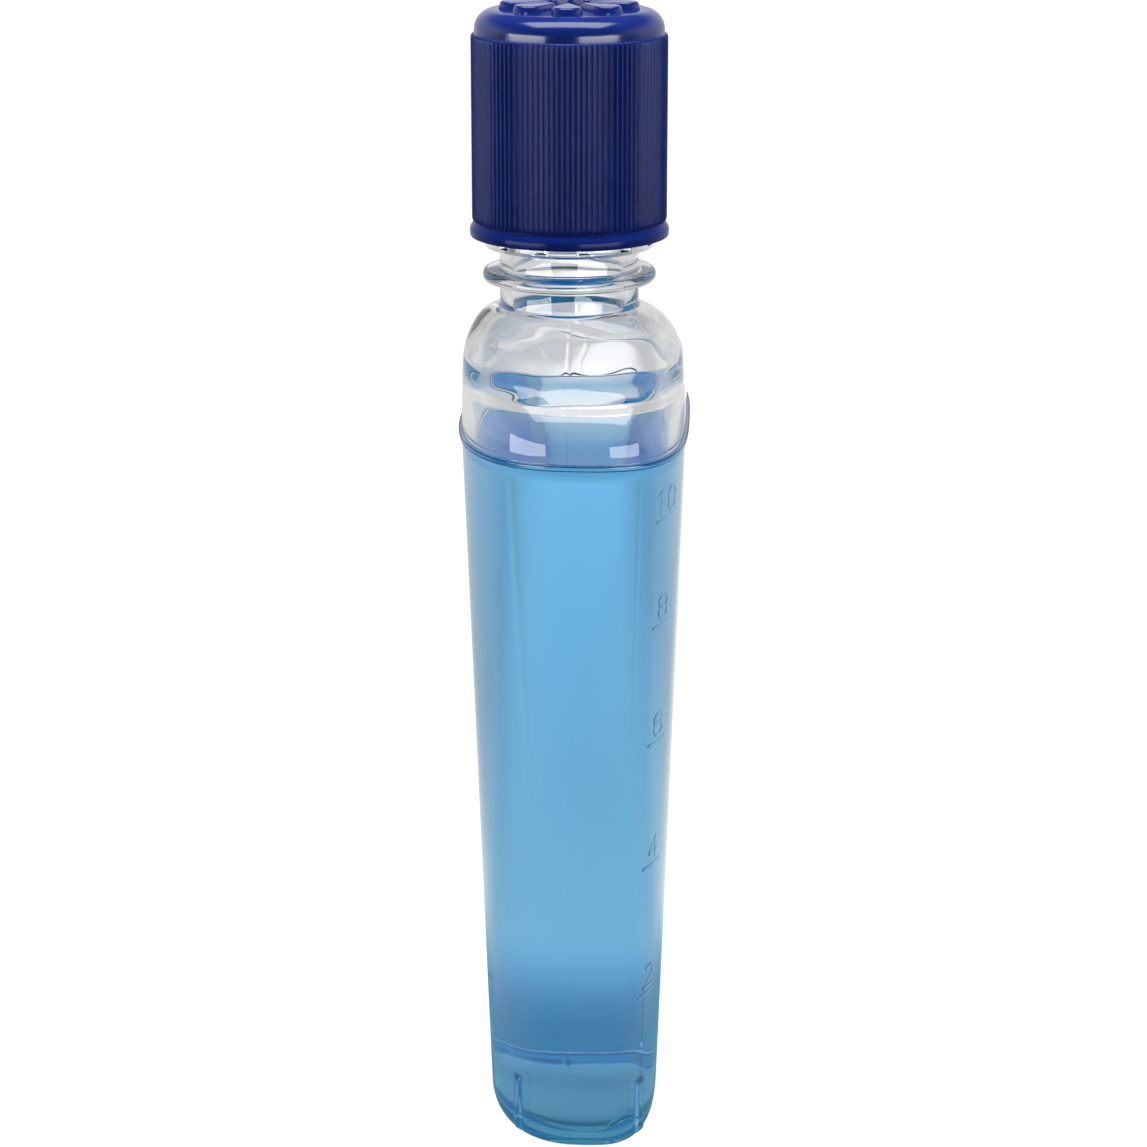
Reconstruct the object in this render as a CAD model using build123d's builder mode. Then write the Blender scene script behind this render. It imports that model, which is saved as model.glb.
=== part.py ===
from build123d import *
from math import atan2, cos, degrees, hypot, pi, radians, sin, sqrt
import os

os.makedirs("parts", exist_ok=True)

# ---------------------------------------------------------------- driving dimensions, mm
# Frame: origin under the neck's axis, on the surface the flask stands on. +Z up, Y along
# the flask's width, +X towards the hollow face that lies against a hip.

# flask body, two clear shells welded at the rim
RIM_Z = 156.0
RIM_HALF_X = 24.0          # half thickness of the outline's box at the weld
RIM_HALF_Y = 45.2          # half width at the weld
FOOT_HALF_X = 18.4         # the same two at the foot, before the heel is rounded
FOOT_HALF_Y = 38.0
ROUNDNESS = 2.7            # 2 is an ellipse, more is squarer
BEND = 1.5                 # how far the narrow ends curl towards +X
HOLLOW = 3.5               # depth of the hollow in the +X face
BODY_X = 1.25              # the body's box stands this far off the neck's axis
OUTLINE_POINTS = 28
WALL = 2.3
FLOOR = 2.8
HEEL_Y = 6.5               # heel radius at the narrow ends
HEEL_X = 5.0               # heel radius along the broad faces
CAVITY_HEEL_Y = 6.0        # the same two inside, where the corners are filled
CAVITY_HEEL_X = 4.5
RIM_PROUD = 0.6            # the weld flanges stand this far out of the wall
FLANGE = 0.55              # thickness of each shell's flange
PUSH_UP = 1.2              # recess under the foot
PUSH_UP_INSET = 5.0
GATE_R = 1.6
GATE_H = 0.7

# shoulder, neck and its thread
SIDE_SHOULDER_Z = 168.0    # the broad faces start to turn in here
END_SHOULDER_Z = 157.8     # the narrow ends start to turn in here
NOSE_R = 11.0              # round nose of the shoulder at the narrow ends
NOSE_TURN = 58.0           # the nose turns by this angle, then a straight slope runs to the neck
DRAFT = 0.035              # the upper shell's walls lean in by this much per mm
OPENING_POWER = 0.58       # 0.5 is an elliptical shoulder, more is flatter on top
NECK_ROOT_Z = 180.8
NECK_R = 14.75
NECK_ROOT_R = 15.2
BORE_R = 12.0
BORE_FLARE = 0.8           # the shoulder's inside opens this much wider than the bore
RING_Z = 186.1
RING_H = 2.5
RING_R = 18.4
LIP_Z = 211.4
PITCH = 4.233
THREAD_Z = 199.6           # middle of the neck's ridge where it starts
THREAD_TURNS = 1.5
THREAD_CREST_R = 16.05
THREAD_BURIED = 0.3        # how deep a ridge is rooted in its wall
RIDGE_ROOT_W = 2.2
RIDGE_CREST_W = 1.0
CAP_RIDGE_DROP = 1.8       # the cap's ridge runs this far under the neck's
CAP_RIDGE_R = 15.2

# inner cap and its liner
CAP_BOTTOM_Z = 193.5
CAP_TOP_Z = 214.0
CAP_R = 18.0
CAP_LIP = 0.9              # the flutes stop this far above the cap's lower edge
CAP_INNER_R = 16.6
FLUTES = 12
FLUTE_START = 12.8         # angle of the first flute from +X
FLUTE_R = 1.5
FLUTE_DEPTH = 0.8
LINER_T = 1.0
LINER_R = 16.0
SEAL_GAP = 0.02

# outer cap, which is the jigger
JIGGER_BOTTOM_Z = 195.7
JIGGER_FLANGE_R = 21.1
JIGGER_FLANGE_H = 1.6
RIB_START_Z = 198.9
RIB_END_Z = 238.0
RIB_R = 20.6
RIB_DEPTH = 0.4
RIBS = 110
JIGGER_BORE_R = 18.4
STEP_Z = 214.1             # the cup narrows here and rests on the inner cap
CUP_R = 17.2
CUP_TOP_Z = 240.5
DOME_R = 19.9
DOME_TOP_Z = 243.0
DOME_ROUND = 4.2
SPLINE_R = 1.1
SPLINE_GAP_Z = 1.0
PETALS = 8
PETAL_TOP_Z = 244.5
PETAL_INNER = (4.6, 0.7)   # centre radius and own radius of a petal's two ends
PETAL_OUTER = (11.4, 3.1)
PETAL_EDGE = 0.5

# scale moulded on the wall: ounces and the height of each line
SCALE = ((2, 36.0), (4, 66.0), (6, 94.0), (8, 120.0), (10, 143.0))
SCALE_TURN = -38.0         # the marks face this far round from +X, on the corner
SCALE_SHIFT = -13.7        # their middle, along the direction that is read
LINE_LENGTH = 9.0
LINE_WIDTH = 0.7
SCALE_PROUD = 0.35
SCALE_BURIED = 0.3
SCALE_DEPTH = (14.0, 50.0)  # the marks are drawn through this depth, then skinned
DIGIT_W = 4.0
DIGIT_H = 4.6
DIGIT_GAP = 1.6
DIGIT_RISE = 1.6
DIGIT_STROKE = 0.8
DIGITS = {
    "0": ((0.2, 0), (0, 0.2), (0, 0.8), (0.2, 1), (0.8, 1), (1, 0.8), (1, 0.2), (0.8, 0), (0.2, 0)),
    "1": ((0.2, 0.8), (0.5, 1), (0.5, 0)),
    "2": ((0, 0.8), (0.2, 1), (0.8, 1), (1, 0.8), (1, 0.6), (0, 0), (1, 0)),
    "4": ((0.75, 0), (0.75, 1), (0, 0.3), (1, 0.3)),
    "6": ((1, 0.85), (0.8, 1), (0.2, 1), (0, 0.8), (0, 0.2), (0.2, 0), (0.8, 0), (1, 0.2), (1, 0.4),
          (0.8, 0.56), (0, 0.56)),
    "8": ((0.8, 0.54), (1, 0.7), (1, 0.86), (0.8, 1), (0.2, 1), (0, 0.86), (0, 0.7), (0.2, 0.54),
          (0, 0.38), (0, 0.18), (0.2, 0), (0.8, 0), (1, 0.18), (1, 0.38), (0.8, 0.54), (0.2, 0.54)),
}

# short ribs on the heel, at both narrow ends
HEEL_RIB_X = (-9.8, 16.6)
HEEL_RIB_Y = (8.0, 45.0)
HEEL_RIB_Z = (1.8, 16.5)
HEEL_RIB_W = 1.5
HEEL_RIB_PROUD = 0.45


# ---------------------------------------------------------------- shape of the flask body
def signed_power(value, exponent):
    return abs(value) ** exponent * (1 if value >= 0 else -1)


def outline(half_x, half_y, curl=1.0, roundness=ROUNDNESS):
    """Points of the kidney outline: a superellipse bent and hollowed towards +X."""
    points = []
    for k in range(OUTLINE_POINTS):
        angle = 2 * pi * k / OUTLINE_POINTS
        across = signed_power(cos(angle), 2 / roundness)
        along = signed_power(sin(angle), 2 / roundness)
        x = half_x * across + BEND * curl * along**2
        if across > 0:
            x -= HOLLOW * curl * across**2
        points.append((x, half_y * along))
    low = min(x for x, y in points)
    high = max(x for x, y in points)
    stretch = 2 * half_x / (high - low)
    return [((x - (low + high) / 2) * stretch + BODY_X * curl, y) for x, y in points]


def rounded(height, radius):
    """How far a quarter-round edge has pulled in at a height above its foot."""
    if height >= radius:
        return 0.0
    return radius - sqrt(radius**2 - (radius - height) ** 2)


def heel_radii(inset, foot):
    """Heel radii on the broad faces and at the narrow ends. Only the cavity's foot is off the ground."""
    if foot > 0:
        return CAVITY_HEEL_X, CAVITY_HEEL_Y
    return HEEL_X - inset, HEEL_Y - inset


def body_outline(z, inset=0.0, foot=0.0):
    """Outline of the lower body at height z, set in by a wall, on a foot at some height."""
    t = z / RIM_Z
    heel_x, heel_y = heel_radii(inset, foot)
    half_x = FOOT_HALF_X + (RIM_HALF_X - FOOT_HALF_X) * t - inset - rounded(z - foot, heel_x)
    half_y = FOOT_HALF_Y + (RIM_HALF_Y - FOOT_HALF_Y) * t - inset - rounded(z - foot, heel_y)
    return outline(half_x, half_y)


def end_reach(z, neck_r, top_z, inset):
    """Half width of the shoulder at height z: a round nose, then a straight slope to the neck."""
    radius = NOSE_R - inset
    centre_y = RIM_HALF_Y - NOSE_R
    turn_z = END_SHOULDER_Z + radius * sin(radians(NOSE_TURN))
    if z > turn_z:
        turn_y = centre_y + radius * cos(radians(NOSE_TURN))
        return neck_r + (turn_y - neck_r) * (top_z - z) / (top_z - turn_z)
    return centre_y + sqrt(radius**2 - max(0.0, z - END_SHOULDER_Z) ** 2)


def shoulder_outline(z, neck_r, top_z, inset=0.0):
    """Outline on the shoulder, which closes from the rim's outline to a round neck."""
    side = max(0.0, (z - SIDE_SHOULDER_Z) / (top_z - SIDE_SHOULDER_Z))
    open_x = (1 - side**2) ** OPENING_POWER
    half_x = neck_r + (RIM_HALF_X - DRAFT * (z - RIM_Z) - inset - neck_r) * open_x
    half_y = end_reach(z, neck_r, top_z, inset)
    open_y = (half_y - neck_r) / (RIM_HALF_Y - inset - neck_r)
    return outline(half_x, half_y, open_y, 2 + (ROUNDNESS - 2) * open_y)


def section(z, points):
    with BuildSketch(Plane.XY.offset(z)) as face:
        with BuildLine():
            Spline(*points, periodic=True)
        make_face()
    return face.sketch


def loft_heel(inset=0.0, foot=0.0, mode=Mode.ADD, rise=(0.0, 0.035, 0.11, 0.22, 0.42, 0.7, 1.0)):
    """The rounded heel of the lower body, up to its whole height or as far as rise goes."""
    heights = [foot + heel_radii(inset, foot)[1] * share for share in rise]
    loft([section(z, body_outline(z, inset, foot)) for z in heights], mode=mode)


def loft_taper(inset=0.0, foot=0.0, mode=Mode.ADD):
    """The straight taper of the lower body, from the heel to the rim."""
    heights = (foot + heel_radii(inset, foot)[1], RIM_Z)
    loft([section(z, body_outline(z, inset, foot)) for z in heights], mode=mode)


def loft_shoulder(neck_r, top_z, inset=0.0, mode=Mode.ADD):
    """The shoulder from the rim to the root of the neck."""
    rise = (0.0, 0.08, 0.18, 0.28, 0.38, 0.46, 0.57, 0.68, 0.79, 0.88, 0.95, 0.99, 1.0)
    heights = [RIM_Z + (top_z - RIM_Z) * share for share in rise]
    loft([section(z, shoulder_outline(z, neck_r, top_z, inset)) for z in heights], mode=mode)


def ridge(start_z, root_r, crest_r):
    """One helical thread ridge, rooted at root_r and reaching to crest_r."""
    with BuildLine() as path:
        Helix(PITCH, PITCH * THREAD_TURNS, root_r, center=(0, 0, start_z))
    start = Plane(path.line @ 0, x_dir=(1, 0, 0), z_dir=path.line % 0)
    with BuildSketch(start) as profile:
        with BuildLine():
            Polyline(
                (0, -RIDGE_ROOT_W / 2),
                (crest_r - root_r, -RIDGE_CREST_W / 2),
                (crest_r - root_r, RIDGE_CREST_W / 2),
                (0, RIDGE_ROOT_W / 2),
                close=True,
            )
        make_face()
    sweep(profile.sketch, path.line, is_frenet=True)


def strokes(text):
    """A number drawn in round-ended strokes, centred over the sketch's origin."""
    start = -(len(text) * DIGIT_W + (len(text) - 1) * DIGIT_GAP) / 2
    with BuildSketch() as face:
        for place, digit in enumerate(text):
            left = start + place * (DIGIT_W + DIGIT_GAP)
            points = [(left + DIGIT_W * u, DIGIT_RISE + DIGIT_H * v) for u, v in DIGITS[digit]]
            for (x0, y0), (x1, y1) in zip(points, points[1:]):
                lean = degrees(atan2(y1 - y0, x1 - x0))
                with Locations(Location(((x0 + x1) / 2, (y0 + y1) / 2, 0), (0, 0, lean))):
                    SlotCenterToCenter(hypot(x1 - x0, y1 - y0), DIGIT_STROKE)
    return face.sketch


def rib_points():
    """Corners of the ring of grip ribs, crest and root in turn."""
    points = []
    for k in range(2 * RIBS):
        radius = RIB_R if k % 2 == 0 else RIB_R - RIB_DEPTH
        angle = pi * k / RIBS
        points.append((radius * cos(angle), radius * sin(angle)))
    return points


flange_outline = outline(RIM_HALF_X + RIM_PROUD, RIM_HALF_Y + RIM_PROUD)

# ---------------------------------------------------------------- scale, fused into the shell
with BuildPart() as scale_marks:
    for ounces, height in SCALE:
        facing = (cos(radians(SCALE_TURN)), sin(radians(SCALE_TURN)), 0)
        face = Plane((0, 0, height), x_dir=(-facing[1], facing[0], 0), z_dir=facing)
        with BuildSketch(face.offset(SCALE_DEPTH[0])):
            with Locations((SCALE_SHIFT, 0)):
                Rectangle(LINE_LENGTH, LINE_WIDTH)
                add(strokes(str(ounces)))
        extrude(amount=SCALE_DEPTH[1] - SCALE_DEPTH[0])
    loft_taper(-SCALE_PROUD, mode=Mode.INTERSECT)
    loft_taper(SCALE_BURIED, mode=Mode.SUBTRACT)

# ---------------------------------------------------------------- heel ribs, fused into the shell
with BuildPart() as heel_ribs:
    for side_x in HEEL_RIB_X:
        for end_y in (-1, 1):
            with BuildSketch(Plane.XY.offset(HEEL_RIB_Z[0])):
                with Locations((side_x, end_y * (HEEL_RIB_Y[0] + HEEL_RIB_Y[1]) / 2)):
                    Rectangle(HEEL_RIB_W, HEEL_RIB_Y[1] - HEEL_RIB_Y[0])
            extrude(amount=HEEL_RIB_Z[1] - HEEL_RIB_Z[0])
    loft_heel(-HEEL_RIB_PROUD, mode=Mode.INTERSECT, rise=(0.0, 0.035, 0.11, 0.22, 0.42, 0.7, 1.0, 1.7, 2.6))

# ---------------------------------------------------------------- lower shell
push_up = outline(FOOT_HALF_X - HEEL_X - PUSH_UP_INSET, FOOT_HALF_Y - HEEL_Y - PUSH_UP_INSET)
with BuildPart() as lower_shell:
    loft_heel()
    loft_taper()
    extrude(section(RIM_Z - FLANGE, flange_outline), amount=FLANGE)
    add(heel_ribs.part)
    add(scale_marks.part)
    # the hollow inside
    loft_heel(WALL, FLOOR, Mode.SUBTRACT)
    loft_taper(WALL, FLOOR, Mode.SUBTRACT)
    # recess under the foot, with the stub of the moulding gate in it
    extrude(section(0, push_up), amount=PUSH_UP, mode=Mode.SUBTRACT)
    with BuildSketch(Plane.XY.offset(PUSH_UP - GATE_H)):
        Circle(GATE_R)
    extrude(amount=GATE_H)
    lower_shell.part.label = "lower_shell"
export_step(lower_shell.part, "parts/lower_shell.step")

# ---------------------------------------------------------------- upper shell
with BuildPart() as upper_shell:
    loft_shoulder(NECK_ROOT_R, NECK_ROOT_Z)
    extrude(section(RIM_Z, flange_outline), amount=FLANGE)
    with BuildSketch(Plane.XY.offset(NECK_ROOT_Z - 1.0)):
        Circle(NECK_R)
    extrude(amount=LIP_Z - NECK_ROOT_Z + 1.0)
    with BuildSketch(Plane.XY.offset(RING_Z)):
        Circle(RING_R)
    extrude(amount=RING_H)
    fillet(upper_shell.edges().filter_by(GeomType.CIRCLE).group_by(SortBy.RADIUS)[-1], RING_H * 0.45)
    ridge(THREAD_Z, NECK_R - THREAD_BURIED, THREAD_CREST_R)
    loft_shoulder(BORE_R + BORE_FLARE, NECK_ROOT_Z - WALL, WALL, Mode.SUBTRACT)
    with BuildSketch(Plane.XY.offset(NECK_ROOT_Z - WALL - 1.0)):
        Circle(BORE_R)
    extrude(amount=LIP_Z - NECK_ROOT_Z + WALL + 1.0, mode=Mode.SUBTRACT)
    upper_shell.part.label = "upper_shell"
export_step(upper_shell.part, "parts/upper_shell.step")

# ---------------------------------------------------------------- liner
with BuildPart() as cap_liner:
    with BuildSketch(Plane.XY.offset(LIP_Z + SEAL_GAP)):
        Circle(LINER_R)
    extrude(amount=LINER_T)
    cap_liner.part.label = "cap_liner"
export_step(cap_liner.part, "parts/cap_liner.step")

# ---------------------------------------------------------------- inner cap
cap_ceiling_z = LIP_Z + LINER_T + 2 * SEAL_GAP
with BuildPart() as inner_cap:
    with BuildSketch(Plane.XY.offset(CAP_BOTTOM_Z)):
        Circle(CAP_R)
    extrude(amount=CAP_TOP_Z - CAP_BOTTOM_Z)
    # drive flutes, open at the top
    with BuildSketch(Plane.XY.offset(CAP_BOTTOM_Z + CAP_LIP)):
        with PolarLocations(CAP_R + FLUTE_R - FLUTE_DEPTH, FLUTES, FLUTE_START):
            Circle(FLUTE_R)
    extrude(amount=CAP_TOP_Z - CAP_BOTTOM_Z - CAP_LIP, mode=Mode.SUBTRACT)
    with BuildSketch(Plane.XY.offset(CAP_BOTTOM_Z)):
        Circle(CAP_INNER_R)
    extrude(amount=cap_ceiling_z - CAP_BOTTOM_Z, mode=Mode.SUBTRACT)
    ridge(THREAD_Z - CAP_RIDGE_DROP, CAP_INNER_R + THREAD_BURIED, CAP_RIDGE_R)
    inner_cap.part.label = "inner_cap"
export_step(inner_cap.part, "parts/inner_cap.step")

# ---------------------------------------------------------------- jigger cap
with BuildPart() as jigger_cap:
    # flange, plain band and wall, with the dome over them
    with BuildSketch(Plane.XZ):
        with BuildLine():
            Polyline(
                (0, JIGGER_BOTTOM_Z),
                (JIGGER_FLANGE_R, JIGGER_BOTTOM_Z),
                (JIGGER_FLANGE_R, JIGGER_BOTTOM_Z + JIGGER_FLANGE_H),
                (RIB_R - RIB_DEPTH, RIB_START_Z),
                (RIB_R - RIB_DEPTH, RIB_END_Z),
                (DOME_R, RIB_END_Z),
                (DOME_R, DOME_TOP_Z - DOME_ROUND),
            )
            RadiusArc(
                (DOME_R, DOME_TOP_Z - DOME_ROUND),
                (DOME_R - DOME_ROUND, DOME_TOP_Z),
                -DOME_ROUND,
            )
            Polyline((DOME_R - DOME_ROUND, DOME_TOP_Z), (0, DOME_TOP_Z), (0, JIGGER_BOTTOM_Z))
        make_face()
    revolve(axis=Axis.Z)
    # fine grip ribs
    with BuildSketch(Plane.XY.offset(RIB_START_Z)):
        with BuildLine():
            Polyline(*rib_points(), close=True)
        make_face()
    extrude(amount=RIB_END_Z - RIB_START_Z)
    # rosette of raised petals on the dome
    for k in range(PETALS):
        with BuildSketch(Plane.XY.offset(DOME_TOP_Z - PETAL_EDGE).rotated((0, 0, 360 * k / PETALS))):
            with Locations((PETAL_INNER[0], 0)):
                Circle(PETAL_INNER[1])
            with Locations((PETAL_OUTER[0], 0)):
                Circle(PETAL_OUTER[1])
            make_hull()
        extrude(amount=PETAL_TOP_Z - DOME_TOP_Z + PETAL_EDGE)
    tops = jigger_cap.faces().filter_by(Plane.XY).group_by(Axis.Z)[-1]
    fillet(tops.edges(), PETAL_EDGE)
    # the mouth that slides over the inner cap, and the narrower cup above it
    with BuildSketch(Plane.XY.offset(JIGGER_BOTTOM_Z)):
        Circle(JIGGER_BORE_R)
    extrude(amount=STEP_Z - JIGGER_BOTTOM_Z, mode=Mode.SUBTRACT)
    with BuildSketch(Plane.XY.offset(STEP_Z)):
        Circle(CUP_R)
    extrude(amount=CUP_TOP_Z - STEP_Z, mode=Mode.SUBTRACT)
    # splines that run in the inner cap's flutes and turn it
    with BuildSketch(Plane.XY.offset(JIGGER_BOTTOM_Z + SPLINE_GAP_Z)):
        with PolarLocations(CAP_R + FLUTE_R - FLUTE_DEPTH, FLUTES, FLUTE_START):
            Circle(SPLINE_R)
    extrude(amount=STEP_Z - JIGGER_BOTTOM_Z - SPLINE_GAP_Z)
    jigger_cap.part.label = "jigger_cap"
export_step(jigger_cap.part, "parts/jigger_cap.step")
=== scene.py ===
import math

import bpy
import numpy as np
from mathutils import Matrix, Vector


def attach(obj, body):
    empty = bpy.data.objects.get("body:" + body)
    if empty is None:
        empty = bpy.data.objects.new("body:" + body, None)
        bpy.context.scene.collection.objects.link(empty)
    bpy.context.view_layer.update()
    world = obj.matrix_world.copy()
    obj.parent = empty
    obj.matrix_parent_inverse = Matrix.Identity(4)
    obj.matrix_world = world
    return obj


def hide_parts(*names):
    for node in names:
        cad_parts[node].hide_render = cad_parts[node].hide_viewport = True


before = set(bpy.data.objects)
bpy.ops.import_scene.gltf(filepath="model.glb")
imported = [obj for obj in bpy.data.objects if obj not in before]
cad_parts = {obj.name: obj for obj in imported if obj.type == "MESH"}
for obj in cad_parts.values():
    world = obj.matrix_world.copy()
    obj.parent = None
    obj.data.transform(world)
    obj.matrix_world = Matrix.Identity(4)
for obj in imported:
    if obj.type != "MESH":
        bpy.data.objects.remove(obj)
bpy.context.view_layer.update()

# ---------------------------------------------------------------- dimensions, mm, as in part.py
RIM_Z, RIM_X, RIM_Y = 156.0, 24.0, 45.2
FOOT_X, FOOT_Y = 18.4, 38.0
ROUNDNESS, BEND, HOLLOW, BODY_X = 2.7, 1.5, 3.5, 1.25
WALL, FLOOR = 2.3, 2.8
HEEL_Y, HEEL_X, CAVITY_HEEL_Y, CAVITY_HEEL_X = 6.5, 5.0, 6.0, 4.5
RIM_PROUD, FLANGE = 0.6, 0.55
PUSH_UP, PUSH_UP_INSET = 1.2, 5.0
SIDE_SHOULDER_Z, END_SHOULDER_Z, NOSE_R, NOSE_TURN = 168.0, 157.8, 11.0, math.radians(58)
DRAFT, OPENING_POWER = 0.035, 0.58
NECK_ROOT_Z, NECK_R, NECK_ROOT_R = 180.8, 14.75, 15.2
BORE_R, BORE_FLARE = 12.0, 0.8
RING_Z, RING_H, RING_R = 186.1, 2.5, 18.4
LIP_Z = 211.4
PITCH, THREAD_Z, TURNS, CREST_R = 4.233, 199.6, 1.5, 16.05
CAP_DROP, CAP_CREST_R = 1.8, 15.2
CAP_BOTTOM, CAP_TOP, CAP_R, CAP_INNER_R, CAP_LIP = 193.5, 214.0, 18.0, 16.6, 0.9
FLUTES, FLUTE_START, FLUTE_R, FLUTE_DEPTH = 12, 12.8, 1.5, 0.8
CEILING_Z = 212.44
JIG_BOTTOM, JIG_FLANGE_R = 195.7, 21.1
RIB_START, RIB_END, RIB_R, RIB_DEPTH, RIBS = 198.9, 238.0, 20.6, 0.4, 110
JIG_BORE, STEP_Z, CUP_R, CUP_TOP = 18.4, 214.1, 17.2, 240.5
DOME_R, DOME_TOP, DOME_ROUND = 19.9, 243.0, 4.2
SPLINE_R = 1.1
PETALS, PETAL_TOP, PETAL_IN_X, PETAL_IN_R, PETAL_OUT_X, PETAL_OUT_R = 8, 244.5, 4.6, 0.7, 11.4, 3.1
SCALE = ((2, 36.0), (4, 66.0), (6, 94.0), (8, 120.0), (10, 143.0))
SCALE_TURN, SCALE_SHIFT = -38.0, -13.7
LINE_LENGTH, LINE_WIDTH = 9.0, 0.7
DIGIT_W, DIGIT_H, DIGIT_GAP, DIGIT_RISE, DIGIT_STROKE = 4.0, 4.6, 1.6, 1.6, 0.8
DIGITS = {
    "0": ((0.2, 0), (0, 0.2), (0, 0.8), (0.2, 1), (0.8, 1), (1, 0.8), (1, 0.2), (0.8, 0), (0.2, 0)),
    "1": ((0.2, 0.8), (0.5, 1), (0.5, 0)),
    "2": ((0, 0.8), (0.2, 1), (0.8, 1), (1, 0.8), (1, 0.6), (0, 0), (1, 0)),
    "4": ((0.75, 0), (0.75, 1), (0, 0.3), (1, 0.3)),
    "6": ((1, 0.85), (0.8, 1), (0.2, 1), (0, 0.8), (0, 0.2), (0.2, 0), (0.8, 0), (1, 0.2), (1, 0.4),
          (0.8, 0.56), (0, 0.56)),
    "8": ((0.8, 0.54), (1, 0.7), (1, 0.86), (0.8, 1), (0.2, 1), (0, 0.86), (0, 0.7), (0.2, 0.54),
          (0, 0.38), (0, 0.18), (0.2, 0), (0.8, 0), (1, 0.18), (1, 0.38), (0.8, 0.54), (0.2, 0.54)),
}
LIQUID_Z, OVER = 155.5, 0.06     # the drink overlaps the wall by OVER
HEEL_RIB_X, HEEL_RIB_Z, HEEL_RIB_W, HEEL_RIB_PROUD = (-9.8, 16.6), (1.8, 16.5), 1.5, 0.45
SEAM_X, SEAM_PROUD = 1.0, 0.09
AROUND = 480                     # points round a ring of the flask
MM = 0.001


# ---------------------------------------------------------------- outlines of the flask
def spow(v, e):
    """A power that keeps its base's sign."""
    return np.sign(v) * np.abs(v) ** e


def outline(half_x, half_y, curl=1.0, roundness=ROUNDNESS):
    """The flask's plan shape with the given half sizes, in evenly spaced points."""
    angle = np.linspace(0, 2 * np.pi, 2880, endpoint=False)
    across = spow(np.cos(angle), 2 / roundness)
    along = spow(np.sin(angle), 2 / roundness)
    x = half_x * across + BEND * curl * along**2
    x = x - np.where(across > 0, HOLLOW * curl * across**2, 0)
    low, high = x.min(), x.max()
    x = (x - (low + high) / 2) * (2 * half_x / (high - low)) + BODY_X * curl
    y = half_y * along
    px, py = np.append(x, x[0]), np.append(y, y[0])
    run = np.concatenate(([0], np.cumsum(np.hypot(np.diff(px), np.diff(py)))))
    at = np.linspace(0, run[-1], AROUND, endpoint=False)
    return np.stack((np.interp(at, run, px), np.interp(at, run, py)), axis=1)


def rounded(height, radius):
    """How far a heel of this radius pulls in at a height over its foot."""
    if height >= radius:
        return 0.0
    return radius - math.sqrt(max(radius**2 - (radius - height) ** 2, 0.0))


def body_outline(z, inset=0.0, foot=0.0):
    """Plan shape of the lower shell at z: its outside, or its inside with inset and foot given."""
    t = z / RIM_Z
    heel_x, heel_y = (CAVITY_HEEL_X, CAVITY_HEEL_Y) if foot > 0 else (HEEL_X - inset, HEEL_Y - inset)
    hx = FOOT_X + (RIM_X - FOOT_X) * t - inset - rounded(z - foot, heel_x)
    hy = FOOT_Y + (RIM_Y - FOOT_Y) * t - inset - rounded(z - foot, heel_y)
    return outline(hx, hy)


def end_reach(z, neck_r, top_z, inset):
    """Half width of the shoulder at z: a round nose, then a straight slope to the neck."""
    radius = NOSE_R - inset
    centre_y = RIM_Y - NOSE_R
    turn_z = END_SHOULDER_Z + radius * math.sin(NOSE_TURN)
    if z > turn_z:
        turn_y = centre_y + radius * math.cos(NOSE_TURN)
        return neck_r + (turn_y - neck_r) * (top_z - z) / (top_z - turn_z)
    return centre_y + math.sqrt(radius**2 - max(0.0, z - END_SHOULDER_Z) ** 2)


def shoulder_outline(z, neck_r, top_z, inset=0.0):
    """Plan shape of the shoulder at z, which turns into a circle at the neck."""
    side = min(max(0.0, (z - SIDE_SHOULDER_Z) / (top_z - SIDE_SHOULDER_Z)), 1.0)
    open_x = (1 - side**2) ** OPENING_POWER
    hx = neck_r + (RIM_X - DRAFT * (z - RIM_Z) - inset - neck_r) * open_x
    hy = end_reach(z, neck_r, top_z, inset)
    open_y = (hy - neck_r) / (RIM_Y - inset - neck_r)
    return outline(hx, hy, open_y, 2 + (ROUNDNESS - 2) * open_y)


def circle(r, n=AROUND):
    """Points round a circle about the neck's axis."""
    angle = np.linspace(0, 2 * np.pi, n, endpoint=False)
    return np.stack((r * np.cos(angle), r * np.sin(angle)), axis=1)


def at(xy, z):
    """A flat outline as a ring at height z."""
    return np.column_stack((xy, np.full(len(xy), z)))


def moved_out(ring, distance):
    """The ring with each point moved along the outline's own normal in the XY plane."""
    xy = ring[:, :2]
    along = np.roll(xy, -1, axis=0) - np.roll(xy, 1, axis=0)
    along /= np.linalg.norm(along, axis=1, keepdims=True)
    normal = np.stack((along[:, 1], -along[:, 0]), axis=1)
    out = ring.copy()
    out[:, :2] += normal * np.asarray(distance).reshape(-1, 1)
    return out


def bump(v, centre, half, soft):
    """1 within half of centre, easing to 0 over soft."""
    return np.clip((half + soft - np.abs(v - centre)) / soft, 0, 1)


# ---------------------------------------------------------------- meshes from rings
def surface(name, rings, start=None, end=None, gap=None, smooth_angle=None, dark=()):
    """A mesh through the rings, closed at the poles start and end, with no band after ring number gap.

    The bands in dark take the piece's second material, a painted shade.
    """
    n = len(rings[0])
    verts = list(np.concatenate(rings))
    faces = []
    count = len(rings)
    for i in range(count - 1):
        if i == gap:
            continue
        a, b = i * n, (i + 1) * n
        for j in range(n):
            k = (j + 1) % n
            faces.append((a + j, a + k, b + k, b + j))
    if start is not None:
        verts.append(start)
        tip = len(verts) - 1
        faces += [(tip, (j + 1) % n, j) for j in range(n)]
    if end is not None:
        verts.append(end)
        tip = len(verts) - 1
        a = (count - 1) * n
        faces += [(tip, a + j, a + (j + 1) % n) for j in range(n)]
    mesh = bpy.data.meshes.new(name)
    mesh.from_pydata([tuple(MM * float(c) for c in v) for v in verts], [], faces)
    mesh.update()
    piece = bpy.data.objects.new(name, mesh)
    bpy.context.scene.collection.objects.link(piece)
    mesh.shade_smooth()
    if smooth_angle is not None:
        mark_sharp(mesh, smooth_angle)
    for band in dark:
        for polygon in mesh.polygons[band * n:(band + 1) * n]:
            polygon.material_index = 1
    return piece


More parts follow.
